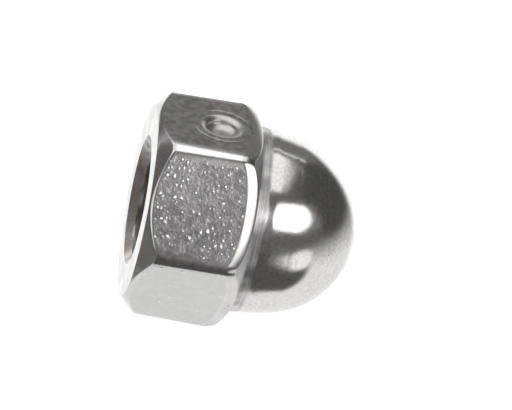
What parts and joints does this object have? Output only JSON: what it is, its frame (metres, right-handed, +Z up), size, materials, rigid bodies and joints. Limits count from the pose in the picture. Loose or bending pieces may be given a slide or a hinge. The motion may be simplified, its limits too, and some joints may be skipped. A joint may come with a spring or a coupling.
{
  "type": "domed cap nut",
  "caption": "Hexagon cap nut closed by a polished dome, with a blind threaded hole and a round locking dimple punched in one flat.",
  "frame": {"origin": "on the surface the nut lies on, under the middle of its bounding box", "axes": "+Z up; +X along the nut towards its dome, level with the floor; the nut's own axis dips 12.89 degrees below +X, because the nut lies on its dome and on one flat's edge; the dimpled flat faces up"},
  "size_m": [0.023, 0.0216, 0.0206],
  "materials": {
    "steel": "bright plated steel: mirror-polished dome, grainy satin flats, turned ring and crown, dull hole"
  },
  "bodies": {
    "root": {"cap_nut": "steel"}
  },
  "joints": []
}
